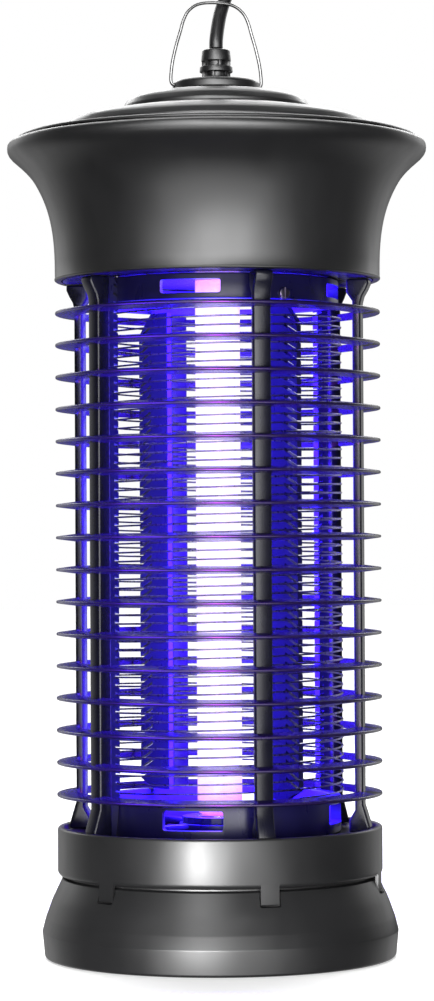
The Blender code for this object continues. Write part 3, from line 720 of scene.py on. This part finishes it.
def make_combs():
    """Two deep combs inside the wires and two outside them, slotted to meet every turn."""
    start = from_front(INNER_COMB_PLACES[0])
    for n, place in enumerate(INNER_COMB_PLACES, 1):
        low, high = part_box(f"grid_comb_{n}")
        outline = comb_outline(0.0280, 0.0447, low.z, high.z, WIRE_START, 0.0034, 0.0011)
        comb = extruded(f"comb_{n}", outline, 0.0020, MATS["insulator"], turn=from_front(place))
        piece(comb, "root", "grid_insulator", f"grid_comb_{n}")
    for n, place in enumerate(OUTER_COMB_PLACES, 3):
        low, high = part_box(f"grid_comb_{n}")
        turned = (from_front(place) - start) % (2 * pi)
        first = WIRE_START + WIRE_PITCH * turned / (2 * pi) % (WIRE_PITCH / 2)
        outline = comb_outline(0.0473, 0.0430, low.z, high.z, first, 0.0008, 0.0010)
        comb = extruded(f"comb_{n}", outline[::-1], 0.0030, MATS["insulator"],
                        turn=from_front(place))
        piece(comb, "root", "grid_insulator", f"grid_comb_{n}")


def make_grid_wires():
    """Two helices, half a turn apart."""
    steps = 40
    count = round(WIRE_TURNS * steps)
    start = from_front(INNER_COMB_PLACES[0])
    for name, phase in (("live", 0.0), ("neutral", pi)):
        path = [polar(WIRE_HELIX, start + phase + 2 * pi * n / steps,
                      WIRE_START + WIRE_PITCH * n / steps) for n in range(count + 1)]
        wire = tube(f"wire_{name}", path, WIRE_RADIUS, MATS["steel"], resolution=1)
        piece(wire, "root", "grid_steel", f"grid_wire_{name}")


def make_terminals():
    """Bright slotted screw heads where the wires end, at the top and the bottom of the grid."""
    for n, (place, height) in enumerate(TERMINALS):
        angle = from_front(place - 7)
        head = lathe(f"terminal_{n}", fillet([(0.0, 0.0012, 0), (0.0021, 0.0011, 0.0005),
                                              (0.0021, 0.0, 0.0001), (0.0, 0.0, 0)],
                                             closed=False, steps=3), MATS["steel"], steps=32,
                     closed=False)
        slot = box("slot", (0.0060, 0.0005, 0.0010), (0.0, 0.0, 0.0012), MATS["steel"])
        combine(head, [slot], "DIFFERENCE")
        place_on = Matrix.Translation(polar(0.0432, angle, height)) \
            @ Matrix.Rotation(angle, 4, "Z") @ Matrix.Rotation(pi / 2, 4, "Y")
        head.data.transform(place_on)
        piece(head, "root", "grid_steel")


def make_lamp():
    """The glass tube, and a metal cap with two pins at each end."""
    low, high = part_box("uv_lamp_tube")
    radius = high.x
    glass = lathe("lamp_tube", fillet([(0.0, high.z, 0), (radius, high.z, 0.0018),
                                       (radius, low.z, 0.0018), (0.0, low.z, 0)],
                                      closed=False, steps=5), MATS["lamp"], steps=72, closed=False)
    glass.visible_shadow = False
    piece(glass, "root", "lamp_glass", "uv_lamp_tube")
    for n in ("lower", "upper"):
        bottom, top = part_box(f"lamp_cap_{n}")
        rim, end = (top.z, bottom.z + 0.006) if n == "lower" else (bottom.z, top.z - 0.006)
        cap = lathe(f"cap_{n}", fillet([(0.0, rim, 0), (0.0082, rim, 0.0003),
                                        (0.0082, rim + (end - rim) * 0.25, 0.0004),
                                        (0.0079, rim + (end - rim) * 0.35, 0.0004),
                                        (0.0082, rim + (end - rim) * 0.45, 0.0004),
                                        (0.0082, end, 0.0008), (0.0, end, 0)],
                                       closed=False, steps=3), MATS["cap"], steps=64,
                    closed=False)
        pins = [lathe(f"pin_{s}", fillet([(0.0, 0.0, 0), (0.0011, 0.0, 0),
                                          (0.0011, 0.0060, 0.0005), (0.0, 0.0060, 0)],
                                         closed=False, steps=3),
                      MATS["cap"], steps=20, closed=False) for s in (-1, 1)]
        for pin, side in zip(pins, (-1, 1)):
            flip = pi if n == "lower" else 0.0
            pin.data.transform(Matrix.Translation((side * 0.0024, 0.0, end))
                               @ Matrix.Rotation(flip, 4, "X"))
        piece(join(f"lamp_cap_{n}_whole", [cap, *pins], MATS["cap"]), "root", "lamp_cap",
              f"lamp_cap_{n}")


# ---------------------------------------------------------------- housing and cover

def make_housing():
    """A bell that flares into a thick rolled rim, with a fine bead round its foot."""
    low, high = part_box("housing")
    bottom, neck, flare, rise, wall = low.z, 0.0580, 0.0168, 0.0470, 0.0022
    steps, last = 24, 18
    levels = [bottom + rise * n / steps for n in range(3, last + 1)]
    outer = [(neck + flare * ((z - bottom) / rise) ** 3, z) for z in levels]
    foot = [(neck - wall, bottom), (neck - 0.0003, bottom), (neck + 0.0001, bottom + 0.0003),
            (neck + 0.0002, bottom + 0.0007), (neck, bottom + 0.0012)]
    (r0, z0), (r1, z1) = outer[-1], (0.0717, 0.2826)
    lead = (z1 - z0) * 3 * flare / rise * (last / steps) ** 2     # the flare's own slope
    tail = (z1 - z0) * 1.20
    outer += [((2 * u ** 3 - 3 * u ** 2 + 1) * r0 + (u ** 3 - 2 * u ** 2 + u) * lead
               + (3 * u ** 2 - 2 * u ** 3) * r1 + (u ** 3 - u ** 2) * tail, z0 + (z1 - z0) * u)
              for u in (0.2, 0.4, 0.6, 0.8)]
    rim = [(r1, z1), (0.0732, 0.2839), (0.0742, 0.2851),
           (0.0747, 0.2862), (high.x, 0.2873), (0.0747, 0.2883), (0.0743, 0.2890),
           (0.0736, 0.2894), (0.0728, 0.2894), (0.0723, 0.2888)]
    inner = [(0.0719, 0.2868), *[(r - wall, z) for r, z in reversed(outer)]]
    shell = lathe("housing_bell", [*foot, *outer, *rim, *inner], MATS["charcoal"], steps=192)
    return piece(shell, "root", "charcoal_plastic", "housing")


def make_cover():
    """Stacked discs whose walls round over into slopes, with a grip recess at each side."""
    low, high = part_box("top_cover")
    t = 0.0020
    bore = 0.0040
    edge, step, shelf = (0.0715, 0.2900), (0.0560, 0.2927), (0.0335, 0.3010)
    crown = (0.0156, high.z)
    rise = 0.0053
    corners = [(bore, crown[1], 0), (crown[0], crown[1], 0.002)]
    for radius, foot in (shelf, step):
        corners += [(radius - 0.0056, foot + rise, 0.004),
                    (radius - 0.0014, foot + 0.0036, 0.0028),
                    (radius, foot + 0.0012, 0.0012), (radius, foot, 0.0003)]
    lip = edge[1] + 0.0012
    corners += [(edge[0], lip, 0.0009), (edge[0], lip - 0.0009, 0),
                (edge[0] - 0.0014, lip - 0.0010, 0),
                (edge[0] - 0.0012, low.z, 0), (edge[0] - t - 0.0010, low.z, 0),
                (edge[0] - t - 0.0010, edge[1] - 0.0008, 0)]
    for radius, foot in (step, shelf):
        corners += [(radius - t, foot - t, 0), (radius - t - 0.0005, foot + 0.0010, 0),
                    (radius - t - 0.0047, foot + rise - 0.0024, 0)]
    corners.append((bore, crown[1] - t, 0))
    cover = lathe("cover", fillet(corners, steps=5), MATS["charcoal"], steps=192)
    half = radians(20)
    cutters = []
    for n, side in enumerate((0.0, pi)):
        face = [(step[0] - 0.0013, step[1] + 0.0008), (step[0] + 0.0060, step[1] + 0.0006),
                (step[0] + 0.0060, step[1] + 0.0046), (step[0] - 0.0036, step[1] + 0.0046),
                (step[0] - 0.0018, step[1] + 0.0026)]
        cutters.append(lathe(f"grip_{n}", face, MATS["charcoal"], steps=24, start=side - half,
                             sweep=2 * half))
    combine(cover, cutters, "DIFFERENCE")
    return piece(cover, "root", "charcoal_plastic", "top_cover")


def make_collar():
    """A round-topped disc with a hole for the bail in each side."""
    low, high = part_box("hanger_collar")
    radius = high.x
    collar = lathe("collar", fillet([(0.0040, low.z, 0), (radius, low.z, 0.0003),
                                     (radius, high.z, 0.0013), (0.0040, high.z, 0.0003)],
                                    steps=6), MATS["charcoal"], steps=128)
    cutters = []
    for side in (-1, 1):
        hole = lathe(f"hole_{side}", [(0.0, -0.004), (0.0010, -0.004), (0.0010, 0.004),
                                      (0.0, 0.004)], MATS["charcoal"], steps=32, closed=False)
        hole.data.transform(Matrix.Translation((side * 0.0160, 0.0, BAIL_PIVOT))
                            @ Matrix.Rotation(pi / 2, 4, "Y"))
        cutters.append(hole)
    combine(collar, cutters, "DIFFERENCE")
    return piece(collar, "root", "charcoal_plastic", "hanger_collar")


def make_bail():
    """One wire, with its ends bent into the collar."""
    pivot = BAIL_PIVOT
    half = [(0.0125, pivot), (0.0148, pivot), (0.0164, pivot + 0.0005), (0.0169, 0.3125),
            (0.0163, 0.3180), (0.0149, 0.3240), (0.0134, 0.3290), (0.0120, 0.3336),
            (0.0100, 0.3370), (0.0062, 0.3394)]
    left = [(-x, 0.0, z) for x, z in half]
    right = [(x, 0.0, z) for x, z in reversed(half)]
    path = smooth_path([*left, (0.0, 0.0, BAIL_TOP), *right], 8)
    bail = tube("bail", path, BAIL_RADIUS, MATS["bail"], resolution=3)
    return piece(bail, "bail", "bail_wire", "hanging_bail")


def make_strain_relief():
    """A foot, a disc and a tapered cap, joined by short upright webs round a neck."""
    low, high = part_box("strain_relief")
    neck = 0.0036
    foot, a, b, c, d, top = 0.3119, 0.3133, 0.3150, 0.3171, 0.3189, high.z
    outline = fillet([
        (0.0, low.z, 0), (neck, low.z, 0), (neck, foot, 0), (0.0048, foot, 0.0003),
        (0.0059, a, 0.0003), (neck, a, 0.0001), (neck, b, 0.0001), (0.00595, b, 0.0003),
        (0.00575, c, 0.0003), (neck, c, 0.0001), (neck, d, 0.0001), (0.00535, d, 0.0003),
        (0.00495, top - 0.0005, 0.0005), (0.0031, top, 0.0003), (0.0, top, 0)],
        closed=False, steps=4)
    parts = [lathe("relief", outline, MATS["rubber"], steps=72, closed=False)]
    for level, (bottom, height) in enumerate(((a - 0.0003, b - a + 0.0006),
                                              (c - 0.0003, d - c + 0.0006))):
        for n in range(6):
            angle = 2 * pi * (n + 0.5 * level) / 6
            parts.append(box(f"web_{level}_{n}", (0.0018, 0.0011, height),
                             polar(0.0043, angle, bottom + height / 2), MATS["rubber"],
                             turn=angle, bevel=0.0002))
    return piece(join("cord_relief", parts, MATS["rubber"]), "root", "cord_rubber",
                 "strain_relief")


# ---------------------------------------------------------------- cord

def cord_place(along, across, height=0.0):
    return Vector((along * cos(CORD_TURN) - across * sin(CORD_TURN),
                   along * sin(CORD_TURN) + across * cos(CORD_TURN), height))


def coil_points():
    """Six turns: three inward on the surface, then three outward on top of them."""
    low = COIL_BOTTOM + CORD_RADIUS
    high = low + 2 * CORD_RADIUS
    radii = [*COIL_RADII, *reversed(COIL_RADII)]
    points = []
    turns = len(radii)
    for n in range(turns * TURN_STEPS + 1):
        turn = n / TURN_STEPS
        index = min(int(turn), turns - 1)
        ahead = min(index + 1, turns - 1)
        part = turn - index
        ease = max(0.0, (part - 0.72) / 0.28)
        ease = ease * ease * (3 - 2 * ease)
        radius = radii[index] + (radii[ahead] - radii[index]) * ease
        heights = [low] * 3 + [high] * 3
        height = heights[index] + (heights[ahead] - heights[index]) * ease
        angle = pi - 2 * pi * turn
        points.append((COIL_CENTRE[0] + radius * cos(angle), COIL_CENTRE[1] + radius * sin(angle),
                       height))
    return points


def make_cord():
    """One cord from the relief to the plug: the arch, the drop, the coil and a short tail."""
    free = smooth_path([cord_place(*point) for point in CORD_ROUTE], 6)
    lead_in = (0.0944, 0.0030, 0.0040)
    coil = coil_points()
    last = coil[-1]
    tail = [(last[0] + 0.0001, last[1] + 0.0075, last[2] - 0.0003),
            (last[0], last[1] + 0.0150, last[2] - 0.0012),
            (last[0], PLUG_START + 0.0006, PLUG_HEIGHT)]
    rest = smooth_path([cord_place(*p) for p in (CORD_ROUTE[-1], lead_in, *coil, *tail)], 1)
    path = [*free, *rest[1:]]
    cord = tube("mains_cord", path, CORD_RADIUS, MATS["rubber"], resolution=4)
    piece(cord, "root", "cord_rubber", "supply_cord", "cord_coil")
    return cord, path


def make_tie():
    """A flat loop round the coil's turns."""
    low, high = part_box("cord_tie")
    centre = (low + high) / 2
    outer = (0.0170, 0.0050, high.z - low.z)
    tie = box("tie_loop", outer, centre, MATS["guard"], turn=CORD_TURN, bevel=0.0012, segments=3)
    hole = box("tie_hole", (outer[0] - 0.0020, 0.01, outer[2] - 0.0020), centre, MATS["guard"],
               turn=CORD_TURN, bevel=0.0009, segments=3)
    combine(tie, [hole], "DIFFERENCE")
    return piece(tie, "root", "guard_plastic", "cord_tie")


def make_plug():
    """A moulded plug: ribbed relief, waisted body and a raised grip on both broad sides."""
    sections = [(0.0, 0.0030, 0.0030), (0.0008, 0.0034, 0.0034)]
    for n in range(6):
        start = 0.0016 + n * 0.0032
        size = 0.0034 + 0.0011 * n / 5
        sections += [(start, size, size), (start + 0.0006, size - 0.0005, size - 0.0005),
                     (start + 0.0014, size - 0.0005, size - 0.0005), (start + 0.002, size, size)]
    sections += [(0.0215, 0.0050, 0.0049), (0.0240, 0.0078, 0.0060), (0.0262, 0.0092, 0.0066),
                 (0.0290, 0.0099, 0.0069), (0.0340, 0.0100, 0.0068), (0.0390, 0.0099, 0.0066),
                 (0.0440, 0.0102, 0.0068), (0.0465, 0.0104, 0.0069), (0.0475, 0.0102, 0.0067),
                 (0.0480, 0.0096, 0.0061)]
    bm = bmesh.new()
    around = 40
    rings = []
    for distance, width, height in sections:
        power = 1.0 - 0.45 * min(1.0, (distance / 0.024) ** 2)
        ring = []
        for n in range(around):
            a = 2 * pi * (n + 0.5) / around
            x = width * abs(cos(a)) ** power * (1 if cos(a) > 0 else -1)
            z = height * abs(sin(a)) ** power * (1 if sin(a) > 0 else -1)
            ring.append(bm.verts.new((x, distance, z)))
        rings.append(ring)
    for first, second in zip(rings, rings[1:]):
        for n in range(around):
            bm.faces.new((first[n - 1], first[n], second[n], second[n - 1]))
    bm.faces.new(rings[0])
    bm.faces.new(rings[-1])
    along = COIL_CENTRE[0] - COIL_RADII[0]
    place = Matrix.Translation(cord_place(along, PLUG_START, PLUG_HEIGHT)) \
        @ Matrix.Rotation(CORD_TURN, 4, "Z")
    plug = mesh_object("plug_body", bm, MATS["rubber"])
    plug.data.transform(place)
    piece(plug, "root", "cord_rubber", "mains_plug")
    blades = []
    for n, side in enumerate((-1, 1), 1):
        low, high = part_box(f"plug_blade_{n}")
        blade = box(f"blade_{n}", (0.0015, 0.0170, 0.0063), (0, 0, 0), MATS["brass"], bevel=0.0006)
        hole = lathe("blade_hole", [(0.0, -0.002), (0.0015, -0.002), (0.0015, 0.002),
                                    (0.0, 0.002)], MATS["brass"], steps=24, closed=False)
        hole.data.transform(Matrix.Translation((0.0, 0.0045, 0.0))
                            @ Matrix.Rotation(pi / 2, 4, "Y"))
        combine(blade, [hole], "DIFFERENCE")
        blade.data.transform(Matrix.Translation((low + high) / 2)
                             @ Matrix.Rotation(CORD_TURN, 4, "Z"))
        blades.append(piece(blade, "root", "plug_brass", f"plug_blade_{n}"))
    return plug, blades


# ---------------------------------------------------------------- build

def dress_cad_nodes():
    """Materials for the CAD nodes that show as they are."""
    for names, mat in (
            (("chassis_plate",), "guard"), (("lampholder_lower", "lampholder_upper"), "insulator"),
            (("live_terminal", "neutral_terminal"), "steel"), (("driver_board",), "board"),
            (("step_up_transformer", "film_capacitor", "terminal_block", "reservoir_capacitor"),
             "component"), (("inner_supply_lead", "live_lead", "neutral_lead"), "rubber")):
        for name in names:
            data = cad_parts[name].data
            data.materials.clear()
            data.materials.append(MATS[mat])


make_camera()
cord, cord_path = make_cord()
tie = make_tie()
plug, blades = make_plug()
base = bpy.data.collections.new("base")
for part in (make_tray(), make_lower_ring()):
    base.objects.link(part)
make_posts()
make_lamp_light(make_fins())
make_grid_frames()
make_combs()
make_grid_wires()
make_terminals()
make_lamp()
crown = bpy.data.collections.new("crown")
for part in (make_housing(), make_cover(), make_collar(), make_bail(), make_strain_relief(),
             cord):
    crown.objects.link(part)
make_studio({"base": base, "crown": crown})
dress_cad_nodes()
